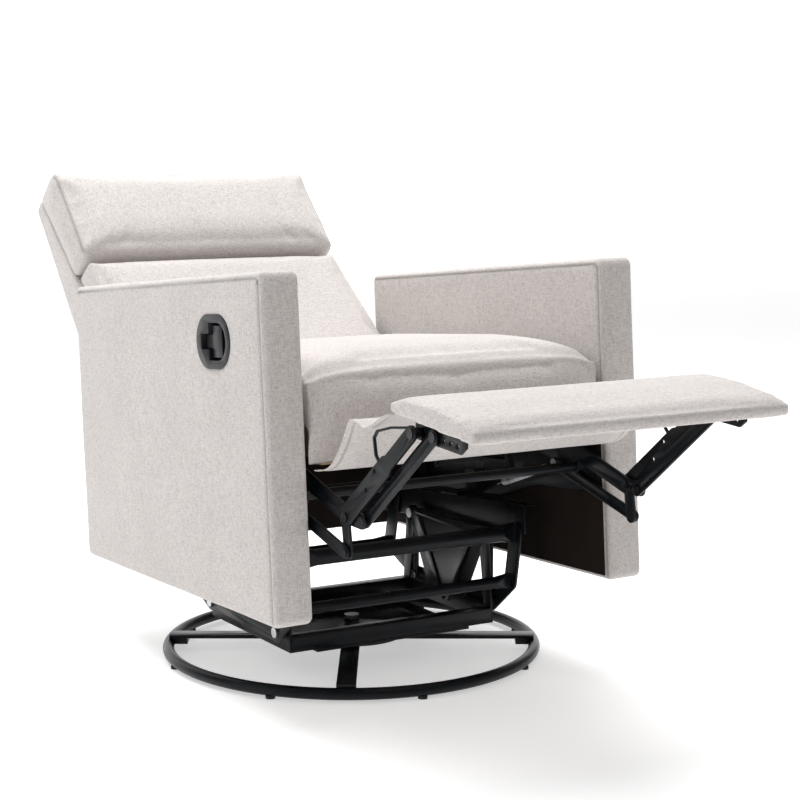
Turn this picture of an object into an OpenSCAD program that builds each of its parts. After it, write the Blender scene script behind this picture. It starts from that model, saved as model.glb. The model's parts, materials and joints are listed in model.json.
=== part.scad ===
// Swivel glider recliner for a nursery: square track arms, a reclined back
// with a separate head pillow, an opened footrest and a round swivel base.
// Frame: millimetres, +Z up, floor at z = 0, origin on the floor under the
// swivel axis, the sitter faces -Y and the recliner paddle is on the -X arm.
// Points on a side view are written [y, z].

/* [Upholstered body] */
// Width over both arms
overall_w = 690; // [640:5:760]
// Thickness of one arm
arm_t = 65; // [50:1:85]
// Depth of an arm, front to rear
arm_depth = 755; // [700:5:820]
// Front face of the arms, in front of the swivel axis
arm_front = 376; // [340:1:400]
// Top of the arms at the front
arm_top = 674; // [640:1:710]
// Drop of the arm top towards the rear
arm_top_fall = 14; // [0:1:25]
// Bottom edge of the arms at the front
arm_bottom = 137; // [125:1:160]
// Rise of the arm's bottom edge towards the rear
arm_bottom_rise = 33; // [0:1:50]
// Radius of the padded arm edges
arm_edge_r = 14; // [8:1:20]
// Top of the seat cushion at its side seams
seat_top = 517; // [500:1:530]
// Height of the crown above the side seams
seat_crown = 27; // [10:1:35]

/* [Recline and pitch] */
// Fixed pitch of the whole seat on its glider, leaning back
seat_pitch = 4.5; // [0:0.5:8]
// Lean of the back's rear face from upright, fully reclined
back_lean = 37.6; // [30:0.2:42]
// Length of the back's rear face
back_len = 597; // [560:1:620]
// Radius of the roll at the foot of the back cushion
back_roll_r = 88; // [80:1:90]

/* [Footrest] */
// Depth of the footrest pad
pad_depth = 221; // [200:1:235]
// Thickness of the pad at its middle
pad_crown = 29; // [22:1:34]
// Turn of the footrest between open and closed
footrest_turn = 80.5; // [70:0.5:85]

/* [Swivel base] */
// Radius of the base ring, to the middle of its tube
ring_r = 322; // [290:1:340]
// Diameter of the base ring tube
ring_tube_d = 20; // [16:1:25]
// Width of the flat spokes
spoke_w = 32; // [24:1:40]
// Turn of the spoke cross from the chair's own axes
spoke_turn = -31; // [-45:1:45]
// Diameter of the kingpin
kingpin_d = 16; // [12:0.5:20]

/* [Glider] */
// Length of a swing link between its pivots
swing_len = 118; // [105:1:125]
// Rearward slant of the swing links as they hang at rest
swing_slant = 0; // [0:1:12]
// Diameter of the cross tubes
cross_tube_d = 27; // [20:1:30]
// Thickness of the pressed steel links and plates
steel_t = 4; // [3:0.5:4.5]

/* [Fits] */
// Radial clearance of a turning pin in its bore
run_fit = 0.05; // [0.02:0.01:0.1]
// Gap between soft parts and what moves past them
soft_gap = 2; // [1:0.5:3]
// Gap between the footrest pad and the inner face of each arm
pad_gap = 4; // [3:0.5:12]

/* [Hidden] */

$fn = 48;
steel_black = [0.09, 0.09, 0.1];
zinc = [0.7, 0.7, 0.72];
linen = [0.8, 0.77, 0.74];
lining_dark = [0.16, 0.12, 0.1];
timber = [0.72, 0.58, 0.4];
plastic_black = [0.07, 0.07, 0.08];
rubber_black = [0.05, 0.05, 0.05];

// ---- heights and planes shared by the seat and arms
half_w = overall_w / 2;
arm_in = half_w - arm_t;
arm_rear = arm_depth - arm_front;
pitch_height = 250;
lining_t = 1.5;
lining_gap = 0.2;

// ---- planes of the folding linkage, measured outwards from the middle
plate_t = 3;
plate_x = arm_in - 3.5 - plate_t;
plate_out = plate_x + plate_t;
layer = steel_t + 2;
control_x = plate_x - 3.5 - steel_t;
carrier_x = control_x - layer;
drive_x = carrier_x - layer;
toe_x = drive_x - layer;
bracket_x = toe_x - layer;
back_bracket_x = plate_x - 7.5 - steel_t;
stud_r = 5;
rivet_r = 4;
rivet_head_r = 8;
rivet_head_t = 1.4;
end_play = 0.3;

// ---- soft parts between the arms
back_w = 2 * (plate_x - soft_gap);
pad_w = 2 * (arm_in - pad_gap);

// ---- footrest linkage, opened
footrest_rear = [-612, 470];
footrest_pitch = 9.4;
knee = [-455, 307];
toe_a = [-654, 441];
toe_b = [-692, 437];
main_pivot = [-228.7, 388.9];
toe_knee = knee + toe_b - toe_a;
control_pivot = [-241.9, 327.6];
control_tail = [-459.4, 255.7];
bar_centre = [-318, 328];
drive_w = 24;
carrier_w = 26;
toe_w = 28;
control_w = 20;
bar_r = 8;

// ---- back
back_pivot = [365, 465];
back_foot = [391, 340];
back_up = [sin(back_lean), cos(back_lean)];
back_fwd = [-cos(back_lean), sin(back_lean)];
shell_t = 14;
bracket_eye_r = 17;
back_stud_r = 8;

// ---- glider
stand_x = 196;
swing_x = stand_x + steel_t + 4;
cradle_x = swing_x + steel_t + 3;
swing_top = [[-125, 206], [125, 206]];
swing_step = [swing_len * sin(swing_slant), -swing_len * cos(swing_slant)];
swing_foot = [for (p = swing_top) p + swing_step];
upper_tube = [-200, 225];
lower_tube = [-185, 137];
rear_upper_tube = [202, 248];
rear_lower_tube = [228, 130];

// Point on the back, u up its rear face and v forwards from it
function on_back(u, v) = back_foot + u * back_up + v * back_fwd;
// Points on an arc about c
function arc_points(c, r, a0, a1, n) =
    [for (i = [0:n]) c + r * [cos(a0 + (a1 - a0) * i / n), sin(a0 + (a1 - a0) * i / n)]];

// A side view profile carried across the chair from x0 for a thickness t
module across(x0, t) {
    translate([x0, 0, 0]) rotate([90, 0, 90]) linear_extrude(height = t) children();
}

// A round bar along X from x0 to x1 at the side view point p
module bar_x(x0, x1, p, r) {
    translate([x0, p[0], p[1]]) rotate([0, 90, 0]) cylinder(h = x1 - x0, r = r);
}

module both_sides() {
    children();
    mirror([1, 0, 0]) children();
}

// The seat, arms, back and footrest pitch back together
module pitched() {
    translate([0, 0, pitch_height]) rotate([-seat_pitch, 0, 0]) translate([0, 0, -pitch_height])
        children();
}

// Round-ended flat bar between two side view points
module strap(a, b, w) {
    turn = atan2(b[1] - a[1], b[0] - a[0]);
    polygon(concat(arc_points(b, w / 2, turn - 90, turn + 90, 12),
        arc_points(a, w / 2, turn + 90, turn + 270, 12)));
}

// Round boss that joins a flat outline
module boss_at(p, r) {
    polygon(arc_points(p, r, 3, 353, 35));
}

module hole_at(p, r) {
    translate(p) circle(r = r);
}

// A block on the back, from u0 to u1 up it and v0 to v1 forwards of its rear face
module back_block(x0, t, u0, u1, v0, v1) {
    across(x0, t) polygon([on_back(u0, v0), on_back(u1, v0), on_back(u1, v1), on_back(u0, v1)]);
}

// ================= swivel base =================
ring_z = 14;
ring_wall = 2;
spigot_len = 60;

// Half of the ring tube, from angle a0
module ring_half(a0) {
    rotate([0, 0, a0]) translate([0, 0, ring_z]) rotate_extrude(angle = 180, $fn = 96)
        translate([ring_r, 0]) difference() {
            circle(d = ring_tube_d);
            circle(d = ring_tube_d - 2 * ring_wall);
        }
}

module base_ring_front() { color(steel_black) ring_half(180 + spoke_turn); }
module base_ring_rear() { color(steel_black) ring_half(spoke_turn); }

// Plugs that join the two halves inside the tube
module ring_spigots() {
    span = spigot_len / ring_r * 180 / PI;
    color(steel_black) for (a = [0, 180])
        rotate([0, 0, a + spoke_turn - span / 2]) translate([0, 0, ring_z])
            rotate_extrude(angle = span, $fn = 96)
                translate([ring_r, 0]) circle(d = ring_tube_d - 2 * ring_wall - 0.2);
}

foot_r = 8;
module foot_pads() {
    pad_top = ring_z - ring_tube_d / 2 + 1;
    color(rubber_black) for (i = [0:7])
        rotate([0, 0, spoke_turn + 22.5 + 45 * i]) difference() {
            translate([ring_r, 0, 0]) cylinder(h = pad_top, r = foot_r);
            translate([0, 0, ring_z]) rotate_extrude($fn = 96)
                translate([ring_r, 0]) circle(d = ring_tube_d);
        }
}

hub_z = 30;
hub_t = 5;
hub_r = 92;
spoke_t = 6;
spoke_in = 58;
module base_spokes() {
    reach = ring_r - 1;
    color(steel_black) for (i = [0:3]) rotate([0, 0, spoke_turn + 90 * i]) difference() {
        union() {
            translate([spoke_in, -spoke_w / 2, hub_z - spoke_t])
                cube([reach - spoke_in, spoke_w, spoke_t]);
            translate([reach - spoke_w, -spoke_w / 2, ring_z])
                cube([spoke_w, spoke_w, hub_z - spoke_t - ring_z]);
        }
        translate([0, 0, ring_z]) rotate_extrude($fn = 96)
            translate([ring_r, 0]) circle(d = ring_tube_d);
        translate([spoke_in + 18, 0, 0]) cylinder(h = hub_z + 1, r = 4.2);
    }
}

module hub_plate() {
    color(steel_black) difference() {
        translate([0, 0, hub_z]) cylinder(h = hub_t, r = hub_r);
        translate([0, 0, hub_z - 1]) cylinder(h = hub_t + 2, d = kingpin_d + 0.1);
        for (i = [0:3]) rotate([0, 0, spoke_turn + 90 * i])
            translate([spoke_in + 18, 0, hub_z - 1]) cylinder(h = hub_t + 2, r = 4.2);
    }
}

module spoke_screws() {
    color(zinc) for (i = [0:3]) rotate([0, 0, spoke_turn + 90 * i])
        translate([spoke_in + 18, 0, 0]) {
            translate([0, 0, hub_z - spoke_t - 4]) cylinder(h = 4, r = 6.5, $fn = 6);
            translate([0, 0, hub_z - spoke_t]) cylinder(h = spoke_t + hub_t + 2, r = 4);
        }
}

// Ball race between the hub plate and the turntable
race_r = 62;
race_w = 16;
ball_r = 4;
race_z = hub_z + hub_t;
race_t = 6;
ball_z = race_z + race_t + ball_r - 2;
plate_z = ball_z + ball_r - 2 + race_t;
module race_ring(z0) {
    difference() {
        translate([0, 0, z0]) cylinder(h = race_t, r = race_r + race_w / 2);
        translate([0, 0, z0 - 1]) cylinder(h = race_t + 2, r = race_r - race_w / 2);
        translate([0, 0, ball_z]) rotate_extrude()
            translate([race_r, 0]) circle(r = ball_r + run_fit);
    }
}
module lower_race() { color(zinc) race_ring(race_z); }
module upper_race() { color(zinc) race_ring(plate_z - race_t); }
module race_balls() {
    color(zinc) for (i = [0:19]) rotate([0, 0, 18 * i])
        translate([race_r, 0, ball_z]) sphere(r = ball_r);
}

turn_t = 5;
module kingpin() {
    color(zinc) {
        translate([0, 0, hub_z - 8]) cylinder(h = 8, r = 14, $fn = 6);
        translate([0, 0, hub_z]) cylinder(h = plate_z + turn_t + 4 - hub_z, d = kingpin_d);
        translate([0, 0, plate_z + turn_t + 1]) cylinder(h = 8, r = 13);
    }
}

// ================= glider frame on the swivel =================
turn_w = 300;
module turntable_plate() {
    color(steel_black) difference() {
        translate([-turn_w / 2, -turn_w / 2, plate_z]) cube([turn_w, turn_w, turn_t]);
        translate([0, 0, plate_z - 1]) cylinder(h = turn_t + 2, d = kingpin_d + 2 * run_fit);
        for (x = [-1, 1], y = [-1, 1])
            translate([x * 105, y * 105, plate_z - 1]) cylinder(h = turn_t + 2, r = 12);
    }
}

rail_h = 26;
rail_w = 24;
rail_z = plate_z + turn_t;
// Channel rail across the chair, its open side down
module channel_rail(y0) {
    color(steel_black) translate([-stand_x, y0, rail_z]) difference() {
        cube([2 * stand_x, rail_w, rail_h]);
        translate([-1, plate_t, -1])
            cube([2 * stand_x + 2, rail_w - 2 * plate_t, rail_h - plate_t + 1]);
    }
}
module glider_front_rail() { channel_rail(-turn_w / 2); }
module glider_rear_rail() { channel_rail(turn_w / 2 - rail_w); }

stand_eye_r = 14;
stand_foot = 150;
rib_w = 9;
// Side stand with a pressed V between two open corners
module stand_profile() {
    difference() {
        union() {
            polygon([[-stand_foot, rail_z], [stand_foot, rail_z], swing_top[1] + [stand_eye_r - 1, 0],
                swing_top[0] - [stand_eye_r - 1, 0]]);
            for (p = swing_top) boss_at(p, stand_eye_r);
            translate(swing_top[0]) square([swing_top[1][0] - swing_top[0][0], stand_eye_r - 1]);
        }
        for (s = [-1, 1])
            polygon([[s * 128, rail_z + 26], [s * 60, rail_z + 26], [s * 112, swing_top[0][1] - 30]]);
        for (p = swing_top) hole_at(p, stud_r + 0.1);
    }
}
module stand() {
    across(stand_x, steel_t) stand_profile();
    across(stand_x - 3, 3) for (s = [-1, 1])
        strap([s * 88, swing_top[0][1] - 6], [s * 8, rail_z + 14], rib_w);
}
module glider_stand_left() { color(steel_black) stand(); }
module glider_stand_right() { color(steel_black) mirror([1, 0, 0]) stand(); }

// Studs that the swing links hang on
module swing_top_pins() {
    color(zinc) both_sides() for (p = swing_top) {
        bar_x(stand_x, swing_x + steel_t + 0.5, p, stud_r);
        bar_x(stand_x - 3, stand_x, p, stud_r + 4);
        bar_x(stand_x + steel_t, swing_x - 0.3, p, stud_r + 3);
        bar_x(swing_x + steel_t + 0.5, swing_x + steel_t + 2, p, stud_r + 3);
    }
}
module swing_foot_pins() {
    color(zinc) both_sides() for (p = swing_foot) {
        bar_x(swing_x - 0.5, cradle_x + steel_t, p, stud_r);
        bar_x(swing_x - 2.5, swing_x - 0.5, p, stud_r + 3);
        bar_x(swing_x + steel_t + 0.3, cradle_x, p, stud_r + 3);
        bar_x(cradle_x + steel_t, cradle_x + steel_t + 3, p, stud_r + 4);
    }
}
module swing_pair(i) {
    color(steel_black) both_sides() across(swing_x, steel_t) difference() {
        strap(swing_top[i], swing_foot[i], 26);
        hole_at(swing_top[i], stud_r + run_fit);
        hole_at(swing_foot[i], stud_r + run_fit);
    }
}
module swing_links_front() { swing_pair(0); }
module swing_links_rear() { swing_pair(1); }

// ================= carriage under the seat =================
module cradle_profile() {
    difference() {
        union() {
            strap(swing_foot[0], swing_foot[1], 30);
            strap(swing_foot[0], lower_tube, 34);
            strap(lower_tube, upper_tube, 34);
            strap(swing_foot[1], rear_lower_tube, 30);
            strap(rear_lower_tube, rear_upper_tube, 34);
        }
        for (p = swing_foot) hole_at(p, stud_r + 0.1);
    }
}
module cradle_plate_left() { color(steel_black) across(cradle_x, steel_t) cradle_profile(); }
module cradle_plate_right() {
    color(steel_black) mirror([1, 0, 0]) across(cradle_x, steel_t) cradle_profile();
}

tube_wall = 2;
// Cross tube with its two ends pressed flat against the cradle plates
module pressed_tube(p, d) {
    color(steel_black) {
        difference() {
            bar_x(-cradle_x + 30, cradle_x - 30, p, d / 2);
            bar_x(-cradle_x + 29, cradle_x - 29, p, d / 2 - tube_wall);
        }
        both_sides() {
            hull() {
                bar_x(cradle_x - 32, cradle_x - 30, p, d / 2);
                translate([cradle_x - 8, p[0] - 4, p[1] - d * 0.62]) cube([2, 8, d * 1.24]);
            }
            translate([cradle_x - 8, p[0] - 4, p[1] - d * 0.62]) cube([8, 8, d * 1.24]);
        }
    }
}
module upper_cross_tube() { pressed_tube(upper_tube, cross_tube_d); }
module lower_cross_tube() { pressed_tube(lower_tube, cross_tube_d - 7); }
module rear_cross_tubes() {
    pressed_tube(rear_upper_tube, cross_tube_d - 5);
    pressed_tube(rear_lower_tube, cross_tube_d - 7);
}

// Angle rails that carry the pitched seat on the cradle plates
rail_x = cradle_x + steel_t;
mech_rail_z = [208, 258];
mech_rail_y = [-222, 262];
mech_flange = 20;
module mechanism_rails() {
    color(steel_black) pitched() both_sides() {
        translate([rail_x, mech_rail_y[0], mech_rail_z[0]])
            cube([plate_t, mech_rail_y[1] - mech_rail_y[0], mech_rail_z[1] - mech_rail_z[0]]);
        translate([rail_x, mech_rail_y[0], mech_rail_z[1] - plate_t])
            cube([mech_flange, mech_rail_y[1] - mech_rail_y[0], plate_t]);
    }
}

outrigger_y = [20, 215];
outrigger_w = 56;
module outriggers() {
    color(steel_black) pitched() both_sides() for (y = outrigger_y) {
        translate([rail_x, y - outrigger_w / 2, mech_rail_z[1]])
            cube([plate_x - rail_x, outrigger_w, steel_t]);
        translate([plate_x - steel_t, y - outrigger_w / 2, mech_rail_z[1]])
            cube([steel_t, outrigger_w, 40]);
    }
}

arm_bolt_at = [[-120, 300], [150, 300], [-85, 395], [230, 395]];
seat_tab_y = [-30, 200];
module side_plate_profile() {
    difference() {
        polygon([[-350, 300], [-335, 330], [-262, 408], [-240, 414], [270, 414], [335, 487],
            [385, 487], [392, 440], [330, 360], [270, mech_rail_z[1]], [-60, mech_rail_z[1]],
            [-180, 285], [-300, 285]]);
        hole_at(main_pivot, stud_r + 0.1);
        hole_at(control_pivot, stud_r + 0.1);
        hole_at(back_pivot, back_stud_r + 0.1);
        hole_at(latch_pivot, latch_stud_r + 0.1);
        hole_at(cable_exit, cable_r + 1.5);
        for (p = arm_bolt_at) hole_at(p, bolt_r + 0.2);
        polygon([[-80, 355], [100, 355], [100, 322], [-80, 322]]);
    }
}
module side_plate_left() {
    color(steel_black) pitched() across(plate_x, plate_t) side_plate_profile();
}
module side_plate_right() {
    color(steel_black) pitched() mirror([1, 0, 0]) across(plate_x, plate_t) side_plate_profile();
}

// Studs on the side plates that the links, the back and the latch turn on
latch_stud_r = 3;
module linkage_studs() {
    color(zinc) pitched() {
        both_sides() {
            bar_x(drive_x - end_play, plate_out, main_pivot, stud_r);
            bar_x(drive_x - 3, drive_x - end_play, main_pivot, stud_r + 4);
            bar_x(drive_x + steel_t + end_play, plate_x, main_pivot, stud_r + 4);
            bar_x(plate_out, plate_out + rivet_head_t, main_pivot, stud_r + 3);
            bar_x(control_x - end_play, plate_out, control_pivot, stud_r);
            bar_x(control_x - 1.6, control_x - end_play, control_pivot, stud_r + 3);
            bar_x(control_x + steel_t + end_play, plate_x, control_pivot, stud_r + 2);
            bar_x(plate_out, plate_out + rivet_head_t, control_pivot, stud_r + 3);
            bar_x(back_bracket_x - end_play, plate_out, back_pivot, back_stud_r);
            bar_x(back_bracket_x - 4, back_bracket_x - end_play, back_pivot, back_stud_r + 5);
            bar_x(plate_out, plate_out + rivet_head_t, back_pivot, back_stud_r + 3);
        }
        mirror([1, 0, 0]) {
            bar_x(latch_x - end_play, plate_out, latch_pivot, latch_stud_r);
            bar_x(latch_x - end_play - rivet_head_t, latch_x - end_play, latch_pivot, latch_stud_r + 3);
            bar_x(plate_out, plate_out + rivet_head_t, latch_pivot, latch_stud_r + 2);
        }
    }
}

// ================= seat =================
front_rail_y = -355.7;
front_rail_t = 22;
rail_low = 376;
deck_z = 429.7;
rear_rail_y = 245;
side_rail_x = 222;
side_rail_w = 24;
module seat_wood_frame() {
    side_rail_len = rear_rail_y - front_rail_y - front_rail_t;
    color(timber) pitched() {
        translate([-side_rail_x - side_rail_w, front_rail_y, rail_low])
            cube([2 * (side_rail_x + side_rail_w), front_rail_t, deck_z - rail_low]);
        translate([-side_rail_x - side_rail_w, rear_rail_y, rail_low + 10])
            cube([2 * (side_rail_x + side_rail_w), front_rail_t, deck_z - rail_low - 10]);
        both_sides() translate([side_rail_x, front_rail_y + front_rail_t, rail_low + 10])
            cube([side_rail_w, side_rail_len, deck_z - rail_low - 10]);
        both_sides() for (y = seat_tab_y)
            translate([side_rail_x + side_rail_w, y - 20, rail_low + 12])
                cube([plate_x - side_rail_x - side_rail_w, 40, 20]);
    }
}

// Zigzag seat springs strung from the front rail to the rear rail
spring_x = [-156, -52, 52, 156];
zig_w = 46;
zig_pitch = 26;
zig_wire = 4;
module zigzag(len) {
    n = floor(len / zig_pitch);
    step = len / n;
    near = [for (i = [0:n]) [(i % 2 == 0 ? -1 : 1) * zig_w / 2 - zig_wire, i * step]];
    far = [for (i = [n:-1:0]) [(i % 2 == 0 ? -1 : 1) * zig_w / 2 + zig_wire, i * step]];
    linear_extrude(height = 3.2) polygon(concat(near, far));
}
module seat_springs() {
    start = front_rail_y + front_rail_t + 6;
    color(zinc) pitched() for (x = spring_x)
        translate([x, start, deck_z - 8]) zigzag(rear_rail_y - start - 6);
}

// Loose seat cushion with a rear end that follows the roll of the back
cushion_front = -378;
seat_half_w = arm_in - 3;
module seat_profile() {
    roll_r = back_roll_r + soft_gap + 1;
    rise = 24;
    fall = asin((deck_z + 0.3 - back_pivot[1]) / roll_r);
    polygon(concat([[cushion_front, rail_low - 4], [cushion_front, seat_top],
        [cushion_front + 26, seat_top + 20], [cushion_front + 178, seat_top + seat_crown],
        [cushion_front + 478, seat_top + seat_crown - 2], [cushion_front + 620, seat_top + 16]],
        arc_points(back_pivot, roll_r, 180 - rise, 180 - fall, 10),
        [[front_rail_y - 0.3, deck_z + 0.3], [front_rail_y - 0.3, rail_low - 4]]));
}
module seat_cushion() { color(linen) pitched() across(-seat_half_w, 2 * seat_half_w) seat_profile(); }

// ================= arms =================
wall_t = 12;
bolt_r = 4;
// Arm outline on the side view, drawn in by d
module arm_outline(d) {
    front = -arm_front + d;
    rear = arm_rear - d;
    polygon([[front, arm_bottom + d], [rear, arm_bottom + arm_bottom_rise + d],
        [rear, arm_top - arm_top_fall - d], [front, arm_top - d]]);
}
// Padded outside with rounded edges all round
module arm_block() {
    hull() {
        across(arm_in, arm_t) offset(r = 6, $fn = 24) arm_outline(arm_edge_r);
        across(arm_in + 5, arm_t - 10) offset(r = arm_edge_r - 4, $fn = 24) arm_outline(arm_edge_r);
        across(arm_in + arm_edge_r, arm_t - 2 * arm_edge_r)
            offset(r = arm_edge_r, $fn = 24) arm_outline(arm_edge_r);
    }
}
handle_at = [-208, 568];
bezel_w = 120;
bezel_h = 86;
cup_w = 96;
cup_h = 64;
module oval(w, h) {
    for (s = [-1, 1]) translate([s * (w - h) / 2, 0]) circle(d = h);
    translate([-(w - h) / 2, -h / 2]) square([w - h, h]);
}
module arm_cover() {
    difference() {
        arm_block();
        across(arm_in + wall_t, arm_t - 2 * wall_t) arm_outline(wall_t + 2);
        for (p = arm_bolt_at) bar_x(arm_in - 1, arm_in + wall_t + 1, p, bolt_r + 1);
    }
}
module arm_cover_left() { color(linen) pitched() arm_cover(); }
module arm_cover_right() {
    color(linen) pitched() difference() {
        mirror([1, 0, 0]) arm_cover();
        across(-half_w - 1, wall_t + 2) translate(handle_at) oval(cup_w + 8, cup_h + 8);
        bar_x(-arm_in - wall_t - 1, -arm_in + 1, cable_exit, cable_r + 1.5);
    }
}

// Timber frame inside an arm: two posts, a top rail and two lower rails
frame_gap = 0.5;
post_w = 42;
module arm_frame() {
    inset = wall_t + 2 + frame_gap;
    x0 = arm_in + wall_t + frame_gap;
    t = arm_t - 2 * wall_t - 2 * frame_gap;
    bolt_rail = [270, 330];
    color(timber) difference() {
        across(x0, t) difference() {
            arm_outline(inset);
            difference() {
                arm_outline(inset + post_w);
                translate([-arm_front, bolt_rail[0]]) square([arm_depth, bolt_rail[1] - bolt_rail[0]]);
                translate([-arm_front, 375]) square([arm_depth, 40]);
            }
        }
        for (p = arm_bolt_at) bar_x(x0 - 1, x0 + 26, p, bolt_r + 0.1);
    }
}
module arm_frame_left() { pitched() arm_frame(); }
module arm_frame_right() {
    color(timber) pitched() difference() {
        mirror([1, 0, 0]) arm_frame();
        translate([-half_w, -172, 374]) cube([arm_t - wall_t - 12, 56, 42]);
    }
}

// Dark cloth tacked to the inner faces of the arms below the seat
module arm_linings() {
    color(lining_dark) pitched() both_sides()
    across(arm_in - lining_gap - lining_t, lining_t) difference() {
        polygon([[-arm_front + 16, arm_bottom + 8], [arm_rear - 14, arm_bottom + arm_bottom_rise + 6],
            [arm_rear - 14, 425], [-arm_front + 16, 425]]);
        for (p = arm_bolt_at) hole_at(p, bolt_r + 1);
        hole_at(main_pivot, stud_r + 4);
        hole_at(control_pivot, stud_r + 4);
        hole_at(cable_exit, cable_r + 1.5);
    }
}

// Bolts from the side plates through spacers into the arm frames
module arm_bolts() {
    color(zinc) pitched() both_sides() for (p = arm_bolt_at) {
        bar_x(plate_x - 4, plate_x, p, bolt_r + 3, $fn = 6);
        bar_x(plate_x, arm_in + wall_t + 22, p, bolt_r);
    }
}

// Upholstered cross panel that ties the arms together behind the base
panel_t = 22;
panel_z = [arm_bottom + arm_bottom_rise, 322];
module rear_panel() {
    half = arm_in - lining_gap - lining_t - 0.3;
    color(linen) pitched() translate([-half, arm_rear - panel_t - 5, panel_z[0]])
        cube([2 * half, panel_t, panel_z[1] - panel_z[0]]);
}

// ================= recliner paddle and release =================
bezel_out = 4;
cup_depth = 26;
cup_wall = 2.5;
// Opening of the cup: round in front, flat behind, with a slot for the stem
cup_flat = 14;
slot_end = 42;
slot_half = 12.5;
module cup_opening() {
    intersection() {
        oval(cup_w - 2 * cup_wall, cup_h - 2 * cup_wall);
        translate([-cup_w, -cup_h]) square([cup_w + cup_flat, 2 * cup_h]);
    }
    translate([0, -slot_half]) square([slot_end, 2 * slot_half]);
}
module handle_bezel() {
    color(plastic_black) pitched() difference() {
        union() {
            across(-half_w - bezel_out, bezel_out) translate(handle_at) oval(bezel_w, bezel_h);
            across(-half_w, cup_depth) translate(handle_at) oval(cup_w, cup_h);
        }
        across(-half_w - bezel_out - 1, cup_depth + bezel_out + 1 - cup_wall)
            translate(handle_at) cup_opening();
        translate([paddle_hinge_x, paddle_hinge_y, handle_at[1] - pin_half])
            cylinder(h = 2 * pin_half, r = hinge_r + run_fit);
    }
}
paddle_hinge_y = handle_at[0] + 34;
paddle_hinge_x = -half_w + 10;
hinge_r = 2.5;
pin_half = 22;
// T-shaped pull: a stem from the hinge and a tall grip at its front end
stem_h = 22;
grip_h = 50;
grip_w = 33;
grip_y = handle_at[0] - 26;
module release_paddle() {
    color(plastic_black) pitched() {
        translate([-half_w + 2, grip_y, handle_at[1] - stem_h / 2])
            cube([8, paddle_hinge_y - grip_y, stem_h]);
        translate([-half_w, grip_y, handle_at[1] - grip_h / 2]) cube([10, grip_w, grip_h]);
        translate([paddle_hinge_x, paddle_hinge_y, handle_at[1] - stem_h / 2])
            cylinder(h = stem_h, r = 6);
        translate([paddle_hinge_x, paddle_hinge_y, handle_at[1] - pin_half])
            cylinder(h = 2 * pin_half, r = hinge_r);
    }
}

// Release cable from the cup, down inside the arm and in to the latch
cable_r = 2.5;
cable_exit = [-96, 352];
cable_route = [[-316, -190, 536], [-314, -185, 500], [-313, -170, 440], [-312, -140, 385],
    [-308, -112, 360], [-300, -100, 353], [-290, -96, 352], [-280, -96, 352], [-272, -96, 352],
    [-267, -101, 350], [-265.4, -112, 347], [-265.4, -128, 345], [-265.4, -144, 345],
    [-265.4, -152, 347]];
cable_sides = 8;
function unit(v) = v / norm(v);
function cable_dir(i) =
    unit(cable_route[min(i + 1, len(cable_route) - 1)] - cable_route[max(i - 1, 0)]);
function ring_point(i, k) =
    let (d = cable_dir(i), a = unit(cross(d, [0.2, 1, 0.1])), b = cross(d, a), t = 360 * k / cable_sides)
    cable_route[i] + cable_r * (cos(t) * a + sin(t) * b);
module release_cable() {
    n = len(cable_route);
    points = [for (i = [0:n - 1], k = [0:cable_sides - 1]) ring_point(i, k)];
    sides = [for (i = [0:n - 2], k = [0:cable_sides - 1]) let (j = (k + 1) % cable_sides)
        [i * cable_sides + k, (i + 1) * cable_sides + k, (i + 1) * cable_sides + j, i * cable_sides + j]];
    caps = [[for (k = [0:cable_sides - 1]) k],
        [for (k = [cable_sides - 1:-1:0]) (n - 1) * cable_sides + k]];
    color(plastic_black) pitched() polyhedron(points, concat(sides, caps));
}

// Pawl on the right side plate that the cable lifts
latch_pivot = [-172, 352];
latch_nose = [-196, 371];
latch_x = plate_x - 5;
module release_latch() {
    color(zinc) pitched() mirror([1, 0, 0]) {
        across(latch_x, 3) difference() {
            union() {
                strap(latch_pivot, latch_nose, 13);
                strap(latch_pivot, latch_pivot + [20, -4], 11);
            }
            hole_at(latch_pivot, latch_stud_r + run_fit);
        }
    }
}

// ================= footrest linkage =================
module drive_links() {
    color(steel_black) pitched() both_sides() across(drive_x, steel_t) difference() {
        union() {
            strap(main_pivot, knee, drive_w + 4);
            strap(knee, toe_knee, drive_w);
            strap(knee + 0.6 * (main_pivot - knee), bar_centre, drive_w);
        }
        hole_at(main_pivot, stud_r + run_fit);
        hole_at(knee, rivet_r + 0.1);
        hole_at(toe_knee, rivet_r + 0.1);
        hole_at(bar_centre, bar_r + 0.1);
    }
}

// Round bar that makes the two sides open together
module torque_bar() {
    reach = drive_x + steel_t;
    color(steel_black) pitched() bar_x(-reach, reach, bar_centre, bar_r);
}

module control_links() {
    color(steel_black) pitched() both_sides() across(control_x, steel_t) difference() {
        strap(control_pivot, control_tail, control_w);
        hole_at(control_pivot, stud_r + run_fit);
        hole_at(control_tail, rivet_r + 1.2);
    }
}

// Rivets at the knee, held by the drive links
module knee_rivets() {
    carrier_out = carrier_x + steel_t + end_play;
    drive_out = drive_x + steel_t;
    toe_in = toe_x - end_play;
    color(zinc) pitched() both_sides() {
        bar_x(drive_x, carrier_out, knee, rivet_r);
        bar_x(drive_x - rivet_head_t, drive_x, knee, rivet_head_r);
        bar_x(drive_out, carrier_x - end_play, knee, rivet_head_r);
        bar_x(carrier_out, carrier_out + rivet_head_t, knee, rivet_head_r);
        bar_x(toe_in, drive_out, toe_knee, rivet_r);
        bar_x(toe_in - rivet_head_t, toe_in, toe_knee, rivet_head_r);
        bar_x(toe_x + steel_t + end_play, drive_x, toe_knee, rivet_head_r - 2);
        bar_x(drive_out, drive_out + rivet_head_t, toe_knee, rivet_head_r);
    }
}

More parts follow.
